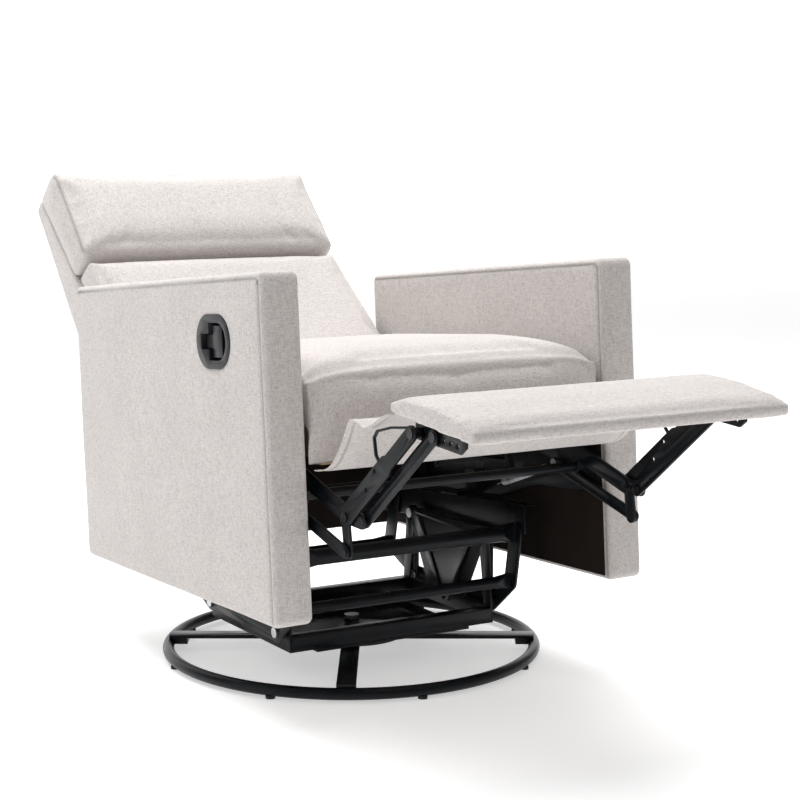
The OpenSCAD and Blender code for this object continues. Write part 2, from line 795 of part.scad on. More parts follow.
// Long links from the knee to the footrest, with a tail for the control link
// and a bent stay that holds the cloth flap up
flap_stay = [[-642, 449], [-600, 447], [-560, 440], [-550, 430], [-553, 405], [-572, 384]];
module carrier_links() {
    wide_end = knee + 0.62 * (toe_a - knee);
    color(steel_black) pitched() both_sides() {
        across(carrier_x, steel_t) difference() {
            union() {
                strap(knee, toe_a, carrier_w - 2);
                strap(knee, wide_end, carrier_w + 6);
                strap(knee, control_tail, carrier_w - 4);
            }
            hole_at(knee, rivet_r + run_fit);
            hole_at(toe_a, rivet_r + run_fit);
            hole_at(knee + 0.34 * (toe_a - knee), 3.5);
            hole_at(knee + 0.5 * (toe_a - knee) + [5, 8], 3.5);
        }
        bar_x(carrier_x + steel_t, control_x + steel_t + end_play, control_tail, rivet_r);
        bar_x(control_x + steel_t + end_play, control_x + steel_t + end_play + rivet_head_t,
            control_tail, rivet_head_r);
        across(carrier_x, steel_t) for (i = [0:len(flap_stay) - 2])
            strap(flap_stay[i], flap_stay[i + 1], 3.6);
    }
}

// Short links below them that keep the footrest's angle
module toe_links() {
    color(steel_black) pitched() both_sides() across(toe_x, steel_t) difference() {
        strap(toe_knee, toe_b, toe_w - 6);
        hole_at(toe_knee, rivet_r + run_fit);
        hole_at(toe_b, rivet_r + run_fit);
    }
}

module toe_rivets() {
    bracket_out = bracket_x + steel_t;
    carrier_out = carrier_x + steel_t + end_play;
    toe_out = toe_x + steel_t + end_play;
    color(zinc) pitched() both_sides() {
        for (p = [toe_a, toe_b]) bar_x(bracket_x - rivet_head_t, bracket_x, p, rivet_head_r);
        bar_x(bracket_x, carrier_out, toe_a, rivet_r);
        bar_x(bracket_out, carrier_x - end_play, toe_a, rivet_head_r);
        bar_x(carrier_out, carrier_out + rivet_head_t, toe_a, rivet_head_r);
        bar_x(bracket_x, toe_out, toe_b, rivet_r);
        bar_x(bracket_out, toe_x - end_play, toe_b, rivet_head_r);
        bar_x(toe_out, toe_out + rivet_head_t, toe_b, rivet_head_r);
    }
}

// Things on the footrest are drawn level from its rear lower edge, then pitched
module on_footrest() {
    translate([0, footrest_rear[0], footrest_rear[1]]) rotate([footrest_pitch, 0, 0])
        mirror([0, 1, 0]) children();
}
function from_footrest(p) = let (d = footrest_rear - p)
    [d[0] * cos(footrest_pitch) + d[1] * sin(footrest_pitch),
        d[0] * sin(footrest_pitch) - d[1] * cos(footrest_pitch)];
bracket_u = [30, 160];
bracket_drop = 33;
hole_row = [64, 104, 122, 140];
module footrest_brackets() {
    color(steel_black) pitched() both_sides() on_footrest() {
        across(bracket_x, steel_t) difference() {
            polygon([[bracket_u[0], 0], [bracket_u[0], -bracket_drop],
                [bracket_u[1] - 12, -bracket_drop + 3], [bracket_u[1], -bracket_drop + 14],
                [bracket_u[1], 0]]);
            hole_at(from_footrest(toe_a), rivet_r + 0.1);
            hole_at(from_footrest(toe_b), rivet_r + 0.1);
            for (u = hole_row) hole_at([u, -20], 3.6);
        }
        translate([bracket_x - 22, bracket_u[0], -steel_t + 1])
            cube([22, bracket_u[1] - bracket_u[0], steel_t - 1]);
    }
}

board_t = 9;
board_inset = 12;
module footrest_board() {
    color(timber) pitched() on_footrest()
        translate([-pad_w / 2 + board_inset, board_inset, 0])
            cube([pad_w - 2 * board_inset, pad_depth - 2 * board_inset, board_t]);
}
module footrest_pad() {
    color(linen) pitched() on_footrest() difference() {
        across(-pad_w / 2, pad_w) polygon([[0, 0], [pad_depth, 0], [pad_depth, 17],
            [pad_depth - 36, pad_crown - 4], [pad_depth / 2, pad_crown], [34, pad_crown - 4], [0, 14]]);
        translate([-pad_w / 2 + board_inset - 0.2, board_inset - 0.2, -1])
            cube([pad_w - 2 * board_inset + 0.4, pad_depth - 2 * board_inset + 0.4, board_t + 1.2]);
    }
}

// Cloth that closes the gap between the seat front and the footrest
flap_route = [[-381, 371], [-396, 371], [-440, 383], [-484, 432], [-500, 452], [-536, 442],
    [-572, 455], [-606, 466]];
module footrest_flap() {
    color(linen) pitched() across(-pad_w / 2 + 4, pad_w - 8)
        for (i = [0:len(flap_route) - 2]) strap(flap_route[i], flap_route[i + 1], 3);
}

// Springs that push the footrest open, from the side plate to the drive link
spring_fixed = [-120, 285];
spring_moving = bar_centre + [22, 4];
module opening_springs() {
    coil_r = 7;
    d = spring_moving - spring_fixed;
    run = norm(d);
    color(zinc) pitched() both_sides()
        translate([bracket_x - 14, spring_fixed[0], spring_fixed[1]])
            rotate([atan2(d[1], d[0]), 0, 0]) rotate([-90, 0, 0]) {
                difference() {
                    translate([0, 0, 24]) cylinder(h = run - 48, r = coil_r);
                    translate([0, 0, 23]) cylinder(h = run - 46, r = coil_r - 2);
                }
                translate([0, 0, 2]) cylinder(h = 24, r = 1.4);
                translate([0, 0, run - 26]) cylinder(h = 24, r = 1.4);
            }
}

// ================= back =================
shell_top = [[731, 835], [721, 821]];
shell_front = [[565, 676], [409, 531], [372, 496.6], [347, 410], [347, 340]];
module back_outline() {
    polygon(concat([on_back(0, 0), on_back(back_len, 0)], shell_top, shell_front));
}
module back_shell() {
    color(linen) pitched() difference() {
        across(-back_w / 2, back_w) back_outline();
        back_block(-back_w / 2 + 5.2, back_w - 10.4, shell_t, back_len - shell_t, shell_t, 240);
        both_sides() bar_x(back_w / 2 - 6, back_w / 2 + 1, back_pivot, back_stud_r + 1.5);
    }
}

// Timber and steel frame of the back, with its two pivot brackets
post_x = 236;
module back_frame() {
    rails = [[30, 62, 56], [330, 362, 44], [548, 576, 28]];
    color(timber) pitched() {
        both_sides() across(post_x, back_bracket_x - post_x) polygon([on_back(28, 16), on_back(576, 16),
            on_back(576, 29), on_back(200, 60), on_back(28, 60)]);
        for (r = rails) back_block(-post_x, 2 * post_x, r[0], r[1], 16, r[2]);
    }
    color(steel_black) pitched() both_sides() across(back_bracket_x, steel_t) difference() {
        union() {
            polygon([on_back(30, 18), on_back(330, 18), on_back(330, 44), on_back(130, 86),
                on_back(60, 86)]);
            boss_at(back_pivot, bracket_eye_r);
        }
        hole_at(back_pivot, back_stud_r + run_fit);
    }
}

// Lower back cushion: crowned face, round roll at its foot
face_tangent = 129.2;
roll_end = 200;
module back_cushion_profile() {
    difference() {
        polygon(concat([[511, 707], [400, 612]],
            arc_points(back_pivot, back_roll_r, face_tangent, roll_end, 12),
            [[372, 440], [372, 496.6], [564, 675]]));
        back_outline();
        hole_at(back_pivot, bracket_eye_r + 0.6);
    }
}
module back_cushion() { color(linen) pitched() across(-back_w / 2, back_w) back_cushion_profile(); }

module head_pillow() {
    color(linen) pitched() across(-back_w / 2, back_w)
        polygon([[731, 835.4], [665, 881], [640, 868], [560, 776], [521, 726], [526, 716],
            [568, 680.2], [720.6, 821.4]]);
}

base_ring_front();
base_ring_rear();
ring_spigots();
foot_pads();
base_spokes();
hub_plate();
spoke_screws();
kingpin();
lower_race();
race_balls();
upper_race();
turntable_plate();
glider_front_rail();
glider_rear_rail();
glider_stand_left();
glider_stand_right();
swing_top_pins();
swing_links_front();
swing_links_rear();
swing_foot_pins();
cradle_plate_left();
cradle_plate_right();
upper_cross_tube();
lower_cross_tube();
rear_cross_tubes();
mechanism_rails();
outriggers();
side_plate_left();
side_plate_right();
linkage_studs();
seat_wood_frame();
seat_springs();
seat_cushion();
arm_frame_left();
arm_frame_right();
arm_cover_left();
arm_cover_right();
arm_linings();
arm_bolts();
rear_panel();
handle_bezel();
release_paddle();
release_cable();
release_latch();
drive_links();
torque_bar();
control_links();
knee_rivets();
carrier_links();
toe_links();
toe_rivets();
footrest_brackets();
footrest_board();
footrest_pad();
footrest_flap();
opening_springs();
back_frame();
back_shell();
back_cushion();
head_pillow();
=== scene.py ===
import json
import math

import bmesh
import bpy
import numpy as np
from mathutils import Matrix, Vector, kdtree, noise

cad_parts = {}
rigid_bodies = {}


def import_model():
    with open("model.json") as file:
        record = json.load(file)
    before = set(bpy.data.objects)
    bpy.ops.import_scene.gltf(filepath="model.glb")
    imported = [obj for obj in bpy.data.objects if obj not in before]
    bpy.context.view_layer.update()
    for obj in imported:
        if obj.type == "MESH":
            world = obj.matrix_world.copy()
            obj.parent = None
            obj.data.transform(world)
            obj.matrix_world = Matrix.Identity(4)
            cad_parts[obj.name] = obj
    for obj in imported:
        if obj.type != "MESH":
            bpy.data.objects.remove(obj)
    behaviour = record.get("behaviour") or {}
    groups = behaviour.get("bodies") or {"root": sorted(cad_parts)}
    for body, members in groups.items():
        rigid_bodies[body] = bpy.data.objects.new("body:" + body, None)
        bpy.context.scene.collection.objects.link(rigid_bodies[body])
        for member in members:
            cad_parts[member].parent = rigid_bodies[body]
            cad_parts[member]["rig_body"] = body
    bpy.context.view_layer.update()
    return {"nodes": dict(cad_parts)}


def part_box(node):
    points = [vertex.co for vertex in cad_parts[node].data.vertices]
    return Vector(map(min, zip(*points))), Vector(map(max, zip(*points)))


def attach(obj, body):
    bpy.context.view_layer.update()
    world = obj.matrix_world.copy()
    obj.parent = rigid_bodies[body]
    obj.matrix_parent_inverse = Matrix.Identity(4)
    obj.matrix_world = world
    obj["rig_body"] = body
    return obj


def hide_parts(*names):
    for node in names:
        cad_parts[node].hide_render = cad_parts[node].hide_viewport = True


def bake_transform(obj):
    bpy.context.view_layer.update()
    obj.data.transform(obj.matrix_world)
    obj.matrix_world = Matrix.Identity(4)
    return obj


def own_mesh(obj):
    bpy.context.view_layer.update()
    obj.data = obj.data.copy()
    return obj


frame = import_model()
scene = bpy.context.scene
nodes = frame["nodes"]

# ---------------------------------------------------------------- camera
# A long lens a little above the seat, in front and to the paddle side of the chair.
view_turn = math.radians(-30.83)
view_rise = math.radians(7.765)
camera = bpy.data.objects.new("camera", bpy.data.cameras.new("camera"))
scene.collection.objects.link(camera)
camera.location = (-1.6162, -2.8749, 0.8957)
towards_camera = Vector((
    math.sin(view_turn) * math.cos(view_rise),
    -math.cos(view_turn) * math.cos(view_rise),
    math.sin(view_rise),
))
camera.rotation_euler = (-towards_camera).to_track_quat("-Z", "Y").to_euler()
camera.data.sensor_width = 36
camera.data.lens = 86.05
camera.data.clip_end = 60
scene.camera = camera


# ---------------------------------------------------------------- swivel base
# Steel tube bent to a ring in two halves, flat spokes and a hub plate, all welded
# and powder coated satin black, on small rubber pads.
def hard_finish(name, deep, pale, patch, gloss, grain, relief, metallic=0.0, shine=0.5):
    """Two close tones in soft patches, with a fine grain in the gloss and the surface."""
    made = bpy.data.materials.new(name)
    made.use_nodes = True
    tree = made.node_tree
    shader = tree.nodes["Principled BSDF"]
    shader.inputs["Metallic"].default_value = metallic
    shader.inputs["Specular IOR Level"].default_value = shine
    place = tree.nodes.new("ShaderNodeTexCoord")
    clouds = tree.nodes.new("ShaderNodeTexNoise")
    clouds.inputs["Scale"].default_value = patch
    clouds.inputs["Detail"].default_value = 4
    tones = tree.nodes.new("ShaderNodeValToRGB")
    tones.color_ramp.elements[0].position = 0.35
    tones.color_ramp.elements[0].color = (*deep, 1)
    tones.color_ramp.elements[1].position = 0.65
    tones.color_ramp.elements[1].color = (*pale, 1)
    fine = tree.nodes.new("ShaderNodeTexNoise")
    fine.inputs["Scale"].default_value = grain
    fine.inputs["Detail"].default_value = 3
    rough = tree.nodes.new("ShaderNodeMapRange")
    rough.inputs["From Min"].default_value = 0.3
    rough.inputs["From Max"].default_value = 0.7
    rough.inputs["To Min"].default_value = gloss[0]
    rough.inputs["To Max"].default_value = gloss[1]
    bump = tree.nodes.new("ShaderNodeBump")
    bump.inputs["Strength"].default_value = 0.4
    bump.inputs["Distance"].default_value = relief
    join = tree.links.new
    join(place.outputs["Object"], clouds.inputs["Vector"])
    join(place.outputs["Object"], fine.inputs["Vector"])
    join(clouds.outputs["Fac"], tones.inputs["Fac"])
    join(tones.outputs["Color"], shader.inputs["Base Color"])
    join(clouds.outputs["Fac"], rough.inputs["Value"])
    join(rough.outputs["Result"], shader.inputs["Roughness"])
    join(fine.outputs["Fac"], bump.inputs["Height"])
    join(bump.outputs["Normal"], shader.inputs["Normal"])
    return made


powder_coat = hard_finish("black_powder_coat", (0.0035, 0.0045, 0.006), (0.006, 0.0075, 0.010), 14,
                          (0.26, 0.38), 900, 0.0002, shine=0.2)
pad_rubber = hard_finish("pad_rubber", (0.008, 0.008, 0.008), (0.016, 0.016, 0.016), 60,
                         (0.6, 0.8), 700, 0.0004)


def shown(body, bm, name, material, crisp=35):
    """Makes the finished mesh an object that rides on a body, shaded smooth below an angle."""
    mesh = bpy.data.meshes.new(name)
    bm.to_mesh(mesh)
    bm.free()
    mesh.materials.append(material)
    mesh.polygons.foreach_set("use_smooth", [True] * len(mesh.polygons))
    mesh.set_sharp_from_angle(angle=math.radians(crisp))
    piece = bpy.data.objects.new(name, mesh)
    scene.collection.objects.link(piece)
    if body:
        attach(piece, body)
    return piece


def merged_copy(node):
    """The CAD node's triangles with their shared corners merged and flat faces made whole."""
    same_corner = 1e-5
    flat_angle = math.radians(0.6)
    bm = bmesh.new()
    bm.from_mesh(nodes[node].data)
    bmesh.ops.remove_doubles(bm, verts=bm.verts, dist=same_corner)
    bmesh.ops.dissolve_limit(bm, angle_limit=flat_angle, verts=bm.verts, edges=bm.edges)
    return bm


def round_off(bm, edges, width, segments, clamp=False):
    """Puts a round on the given edges."""
    bmesh.ops.bevel(bm, geom=edges, offset=width, offset_type="OFFSET", segments=segments,
                    profile=0.5, affect="EDGES", material=-1, clamp_overlap=clamp)


def ease_edges(node, width, material):
    """Cut, pressed and moulded pieces have a small round on every edge, which catches the light."""
    sharp_angle = math.radians(40)
    bm = merged_copy(node)
    sharp = [e for e in bm.edges if e.is_manifold and e.calc_face_angle(0) > sharp_angle]
    round_off(bm, sharp, width, 2, clamp=True)
    piece = shown(nodes[node]["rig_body"], bm, node + "_eased", material)
    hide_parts(node)
    return piece


def paint(names, material):
    """Puts a finish on CAD nodes whose shape is already right."""
    for name in names:
        nodes[name].data.materials.clear()
        nodes[name].data.materials.append(material)


paint(["base_ring_front", "base_ring_rear", "ring_spigots"], powder_coat)
paint(["foot_pads"], pad_rubber)
base_edge = 0.0009
for name in ("base_spokes", "hub_plate"):
    ease_edges(name, base_edge, powder_coat)

# ---------------------------------------------------------------- swivel bearing and fasteners
# Zinc plated races, balls, kingpin, pins, studs and bolts, bare as they come
# from the plating barrel, and blackened rivets.
zinc = hard_finish("zinc_plate", (0.42, 0.42, 0.44), (0.62, 0.62, 0.63), 90, (0.25, 0.42), 1500,
                   0.0001, metallic=1.0)
paint(["spoke_screws", "kingpin", "lower_race", "race_balls", "upper_race", "swing_top_pins",
       "swing_foot_pins", "linkage_studs", "arm_bolts", "release_latch", "seat_springs"], zinc)
rivet_black = hard_finish("blackened_rivet", (0.02, 0.02, 0.022), (0.06, 0.06, 0.065), 120,
                          (0.22, 0.4), 1500, 0.0001, metallic=1.0)
paint(["knee_rivets", "toe_rivets"], rivet_black)

# ---------------------------------------------------------------- glider and carriage
# Pressed plates, channels and tubes that stand on the turntable and carry the seat,
# powder coated like the base.
carriage_edge = 0.0007
for name in ("turntable_plate", "glider_front_rail", "glider_rear_rail", "glider_stand_left",
             "glider_stand_right", "swing_links_front", "swing_links_rear", "cradle_plate_left",
             "cradle_plate_right", "mechanism_rails", "outriggers", "side_plate_left",
             "side_plate_right"):
    ease_edges(name, carriage_edge, powder_coat)
paint(["upper_cross_tube", "lower_cross_tube", "rear_cross_tubes"], powder_coat)

# ---------------------------------------------------------------- seat frame
# Sawn softwood rails, pale and open grained, inside the seat, arms and back.
timber = hard_finish("sawn_timber", (0.36, 0.24, 0.13), (0.55, 0.40, 0.24), 9, (0.6, 0.8), 160,
                     0.0008)
paint(["seat_wood_frame", "arm_frame_left", "arm_frame_right", "footrest_board"], timber)

# ---------------------------------------------------------------- seat cushion
# Foam block in a boxed linen case: a crowned top panel sewn to a plain front band,
# squeezed between the arms. The whole seat leans back a little on its glider.
seat_lean = math.radians(4.5)
lean_height = 0.25
leaned = (Matrix.Translation((0, 0, lean_height)) @ Matrix.Rotation(-seat_lean, 4, "X")
          @ Matrix.Translation((0, 0, -lean_height)))
level = leaned.inverted()
arm_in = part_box("arm_cover_left")[0].x
arm_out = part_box("arm_cover_left")[1].x


def linen(name, tilt):
    """Heathered linen-look weave: slubs along both threads, a fine weave, and painted shade along the
    seams.
    tilt is how far the cloth's threads lean back from upright."""
    made = bpy.data.materials.new(name)
    made.use_nodes = True
    tree = made.node_tree
    join = tree.links.new
    shader = tree.nodes["Principled BSDF"]
    shader.inputs["Roughness"].default_value = 0.92
    shader.inputs["Specular IOR Level"].default_value = 0.18
    shader.inputs["Sheen Weight"].default_value = 0.22
    shader.inputs["Sheen Roughness"].default_value = 0.45
    place = tree.nodes.new("ShaderNodeTexCoord")
    straight = tree.nodes.new("ShaderNodeMapping")
    straight.inputs["Rotation"].default_value = (tilt, 0, 0)
    join(place.outputs["Object"], straight.inputs["Vector"])
    threads_per_metre, slubs_per_metre = 1 / 0.0013, 1 / 0.009
    yarn = None
    weave = None
    for axis in range(3):
        along = tree.nodes.new("ShaderNodeMapping")
        scale = [threads_per_metre] * 3
        scale[axis] = slubs_per_metre
        along.inputs["Scale"].default_value = scale
        slub = tree.nodes.new("ShaderNodeTexNoise")
        slub.inputs["Scale"].default_value = 1
        slub.inputs["Detail"].default_value = 2
        join(straight.outputs["Vector"], along.inputs["Vector"])
        join(along.outputs["Vector"], slub.inputs["Vector"])
        rib = tree.nodes.new("ShaderNodeTexWave")
        rib.bands_direction = "XYZ"[axis]
        rib.inputs["Scale"].default_value = 230
        rib.inputs["Distortion"].default_value = 1.2
        rib.inputs["Detail"].default_value = 1
        join(straight.outputs["Vector"], rib.inputs["Vector"])
        if yarn is None:
            yarn, weave = slub.outputs["Fac"], rib.outputs["Fac"]
            continue
        more_yarn = tree.nodes.new("ShaderNodeMath")
        join(yarn, more_yarn.inputs[0])
        join(slub.outputs["Fac"], more_yarn.inputs[1])
        more_weave = tree.nodes.new("ShaderNodeMath")
        join(weave, more_weave.inputs[0])
        join(rib.outputs["Fac"], more_weave.inputs[1])
        yarn, weave = more_yarn.outputs["Value"], more_weave.outputs["Value"]
    heather = tree.nodes.new("ShaderNodeMapRange")
    heather.inputs["From Min"].default_value = 1.2
    heather.inputs["From Max"].default_value = 1.8
    join(yarn, heather.inputs["Value"])
    tones = tree.nodes.new("ShaderNodeValToRGB")
    tones.color_ramp.elements[0].position = 0.0
    tones.color_ramp.elements[0].color = (0.455, 0.420, 0.402, 1)
    tones.color_ramp.elements[1].position = 1.0
    tones.color_ramp.elements[1].color = (0.700, 0.660, 0.638, 1)
    middle = tones.color_ramp.elements.new(0.5)
    middle.color = (0.620, 0.582, 0.560, 1)
    join(heather.outputs["Result"], tones.inputs["Fac"])
    bolt_tone = tree.nodes.new("ShaderNodeTexNoise")
    bolt_tone.inputs["Scale"].default_value = 9
    join(straight.outputs["Vector"], bolt_tone.inputs["Vector"])
    # Painted shade: the linen is made darker along the seams, where the seam mark is.
    seam = tree.nodes.new("ShaderNodeAttribute")
    seam.attribute_name = "seam"
    painted_seam_shade = tree.nodes.new("ShaderNodeMath")
    painted_seam_shade.operation = "MULTIPLY_ADD"
    painted_seam_shade.inputs[1].default_value = -0.42
    painted_seam_shade.inputs[2].default_value = 1.0
    join(seam.outputs["Fac"], painted_seam_shade.inputs[0])
    drift = tree.nodes.new("ShaderNodeMapRange")
    drift.inputs["To Min"].default_value = 0.93
    drift.inputs["To Max"].default_value = 1.07
    join(bolt_tone.outputs["Fac"], drift.inputs["Value"])
    bolt_tone_and_seam_shade = tree.nodes.new("ShaderNodeMath")
    bolt_tone_and_seam_shade.operation = "MULTIPLY"
    join(painted_seam_shade.outputs["Value"], bolt_tone_and_seam_shade.inputs[0])
    join(drift.outputs["Result"], bolt_tone_and_seam_shade.inputs[1])
    colour = tree.nodes.new("ShaderNodeHueSaturation")
    join(tones.outputs["Color"], colour.inputs["Color"])
    join(bolt_tone_and_seam_shade.outputs["Value"], colour.inputs["Value"])
    join(colour.outputs["Color"], shader.inputs["Base Color"])
    height = tree.nodes.new("ShaderNodeMath")
    height.operation = "MULTIPLY_ADD"
    height.inputs[1].default_value = 0.5
    join(weave, height.inputs[0])
    join(yarn, height.inputs[2])
    bump = tree.nodes.new("ShaderNodeBump")
    bump.inputs["Strength"].default_value = 0.45
    bump.inputs["Distance"].default_value = 0.0004
    join(height.outputs["Value"], bump.inputs["Height"])
    join(bump.outputs["Normal"], shader.inputs["Normal"])
    return made


seat_linen = linen("seat_linen", seat_lean)


def points_of(mesh):
    """The mesh's points as rows of x, y, z."""
    flat = np.empty(len(mesh.vertices) * 3)
    mesh.vertices.foreach_get("co", flat)
    return flat.reshape(-1, 3)


def set_points(mesh, rows):
    """Puts the rows of x, y, z back as the mesh's points."""
    mesh.vertices.foreach_set("co", rows.ravel())
    mesh.update()


def moved_by(matrix, rows):
    """The rows of points, turned and shifted by the matrix."""
    turn = np.array(matrix)
    return rows @ turn[:3, :3].T + turn[:3, 3]


def bake(piece):
    """Replaces the piece's mesh with what its modifiers make of it."""
    ready = bpy.data.meshes.new_from_object(
        piece.evaluated_get(bpy.context.evaluated_depsgraph_get()))
    piece.modifiers.clear()
    piece.data = ready
    ready.polygons.foreach_set("use_smooth", [True] * len(ready.polygons))


def stuff(body, bm, name, material, grain, swell, mould=None, keep_in=None, pressure=4.0,
          slack=0.35):
    """A sewn case blown up from inside: even quads, drawn in, some frames of Cloth, travel capped.
    mould and keep_in change rows of points, with the seat level, before and after the filling.
    slack is the share of swell that the case is drawn in by before it is filled."""
    filling_frames = 20
    most_inward = 0.2 * swell
    piece = shown(body, bm, name, material, crisp=180)
    remesh = piece.modifiers.new("even", "REMESH")
    remesh.mode = "VOXEL"
    remesh.voxel_size = grain
    bake(piece)
    mesh = piece.data
    normals = np.array([v.normal[:] for v in mesh.vertices])
    rest = points_of(mesh) - slack * swell * normals
    if mould:
        rest = moved_by(leaned, mould(moved_by(level, rest)))
    set_points(mesh, rest)
    cloth = piece.modifiers.new("filling", "CLOTH")
    cloth.settings.quality = 4
    cloth.settings.use_pressure = True
    cloth.settings.uniform_pressure_force = pressure
    cloth.settings.effector_weights.gravity = 0
    for step in range(1, filling_frames + 1):
        scene.frame_set(step)
    blown = piece.evaluated_get(bpy.context.evaluated_depsgraph_get()).to_mesh()
    travel = points_of(blown) - rest
    outward = np.sum(travel * normals, axis=1, keepdims=True)
    travel -= normals * np.minimum(outward + most_inward, 0)
    piece.evaluated_get(bpy.context.evaluated_depsgraph_get()).to_mesh_clear()
    piece.modifiers.clear()
    scene.frame_set(1)
    distance = np.maximum(np.linalg.norm(travel, axis=1, keepdims=True), 1e-9)
    rest = rest + travel * swell * np.tanh(distance / swell) / distance
    if keep_in:
        rest = moved_by(leaned, keep_in(moved_by(level, rest)))
    set_points(mesh, rest)
    even = piece.modifiers.new("even", "SMOOTH")
    even.factor = 0.5
    even.iterations = 4
    finer = piece.modifiers.new("finer", "SUBSURF")
    finer.levels = finer.render_levels = 1
    bake(piece)
    return piece


def sew(piece, seams, depth=0.0018, spread=0.0028):
    """Pulls the cloth in along each seam, a list of corner points with the seat level, and marks the
    seams for painted shade.
    """
    stitch = 0.0015
    spots = []
    for line in seams:
        corners = [Vector(c) for c in line]
        for a, b in zip(corners, corners[1:]):
            count = max(int((b - a).length / stitch), 1)
            spots += [leaned @ a.lerp(b, i / count) for i in range(count + 1)]
    near = kdtree.KDTree(len(spots))
    for i, spot in enumerate(spots):
        near.insert(spot, i)
    near.balance()
    mesh = piece.data
    # The seam mark darkens the linen along the seam: painted shade.
    painted_shade_mark = mesh.attributes.new("seam", "FLOAT", "POINT")
    pull = []
    for v in mesh.vertices:
        gap = near.find(v.co)[2] / spread
        pull.append(math.exp(-gap * gap))
    painted_shade_mark.data.foreach_set("value", pull)
    normals = np.array([v.normal[:] for v in mesh.vertices])
    set_points(mesh, points_of(mesh) - depth * np.array(pull)[:, None] * normals)
    return piece


seat_front = -0.378
seat_seam_z = 0.517
seat_half = arm_in - 0.0015


def seat_crown(rows):
    """The top panel falls away to its side seams, most of all near the front corners."""
    top_from, top_blend = 0.49, 0.03
    front_from, front_blend = -0.25, 0.12
    side_fall, corner_fall = 0.020, 0.006
    out = rows.copy()
    top = np.clip((rows[:, 2] - top_from) / top_blend, 0, 1)
    side = np.abs(rows[:, 0]) / seat_half
    front = np.clip((front_from - rows[:, 1]) / front_blend, 0, 1)
    out[:, 2] -= top * (side_fall * side ** 6 + corner_fall * front * side ** 3)
    return out


def between_arms(rows):
    """The case lies flat against the arms, and is tacked to the front rail along its foot."""
    foot_top, foot_blend = 0.455, 0.06
    corner_from, corner_blend = 0.24, 0.02
    band_rear = -0.36
    tack_inset, front_bulge = 0.001, 0.007
    out = rows.copy()
    foot = np.clip((foot_top - rows[:, 2]) / foot_blend, 0, 1) * (rows[:, 1] < band_rear)
    out[:, 1] += foot * (seat_front + tack_inset - rows[:, 1])
    wide = foot * np.clip((np.abs(rows[:, 0]) - corner_from) / corner_blend, 0, 1)
    out[:, 0] += wide * (np.sign(rows[:, 0]) * seat_half - rows[:, 0])
    out[:, 0] = np.clip(out[:, 0], -seat_half, seat_half)
    out[:, 1] = np.maximum(out[:, 1], seat_front - front_bulge)
    return out


seat_grain, seat_swell = 0.0065, 0.016
seat = stuff("carriage", merged_copy("seat_cushion"), "seat_cushion_case", seat_linen, seat_grain,
             seat_swell, mould=seat_crown, keep_in=between_arms)
seat_edge = seat_half - 0.006
seam_return = 0.05
sew(seat, [
    [(-seat_edge, seat_front + seam_return, seat_seam_z), (-seat_edge, seat_front, seat_seam_z),
     (seat_edge, seat_front, seat_seam_z), (seat_edge, seat_front + seam_return, seat_seam_z)],
])
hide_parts("seat_cushion")

# ---------------------------------------------------------------- arms
# Timber boxes wrapped in thin wadding and linen: a side panel on each face, sewn along
# its edge to one band that runs over the top and down the front.
arm_front, arm_rear = -0.376, 0.379
arm_top_front, arm_top_rear = 0.674, 0.660
arm_low_front, arm_low_rear = 0.137, 0.170
arm_corner, arm_round = 0.014, 0.009


def outline_block(outline, left, right):
    """A block with a side outline of (y, z) corners, from left to right across the chair."""
    bm = bmesh.new()
    face = bm.faces.new([bm.verts.new((left, y, z)) for y, z in outline])
    grown = bmesh.ops.extrude_face_region(bm, geom=[face])["geom"]
    bmesh.ops.translate(bm, verts=[v for v in grown if isinstance(v, bmesh.types.BMVert)],
                        vec=(right - left, 0, 0))
    bmesh.ops.recalc_face_normals(bm, faces=bm.faces)
    return bm


touching = 1e-6


def edges_of(bm, across):
    """The block's edges that run across the chair, or else those round its two side faces."""
    return [e for e in bm.edges if (abs(e.verts[0].co.x - e.verts[1].co.x) > touching) == across]


def padded_box(outline, left, right, corner, edge):
    """The block with round corners, and a seam ring let in round each side panel."""
    ring_width = 0.0016
    bm = outline_block(outline, left, right)
    round_off(bm, edges_of(bm, True), corner, 6)
    round_off(bm, edges_of(bm, False), edge, 5)
    for x in (left, right):
        panel = [f for f in bm.faces if all(abs(v.co.x - x) < touching for v in f.verts)]
        for ring in range(3):
            bmesh.ops.inset_region(bm, faces=panel, thickness=ring_width, use_even_offset=True)
    return bm


def grid(bm, spacing):
    """Cuts the flat panels into a grid, so that they can be padded out."""
    for axis in (1, 2):
        places = [v.co[axis] for v in bm.verts]
        low, high = min(places), max(places)
        count = int((high - low) / spacing)
        for i in range(1, count):
            normal = Vector((0, 0, 0))
            normal[axis] = 1
            spot = Vector((0, 0, 0))
            spot[axis] = low + (high - low) * i / count
            bmesh.ops.bisect_plane(bm, geom=bm.verts[:] + bm.edges[:] + bm.faces[:], dist=1e-6,
                                   plane_co=spot, plane_no=normal)
    return bm


def wadding(points, thickness, seed):
    """Soft unevenness of wadding under cloth."""
    lumps_per_metre = 7
    for v in points:
        lift = noise.noise(v.co * lumps_per_metre + Vector((seed, 0, 0)))
        v.co += v.normal * thickness * lift


arm_outline = [(arm_front, arm_low_front), (arm_rear, arm_low_rear), (arm_rear, arm_top_rear),
               (arm_front, arm_top_front)]


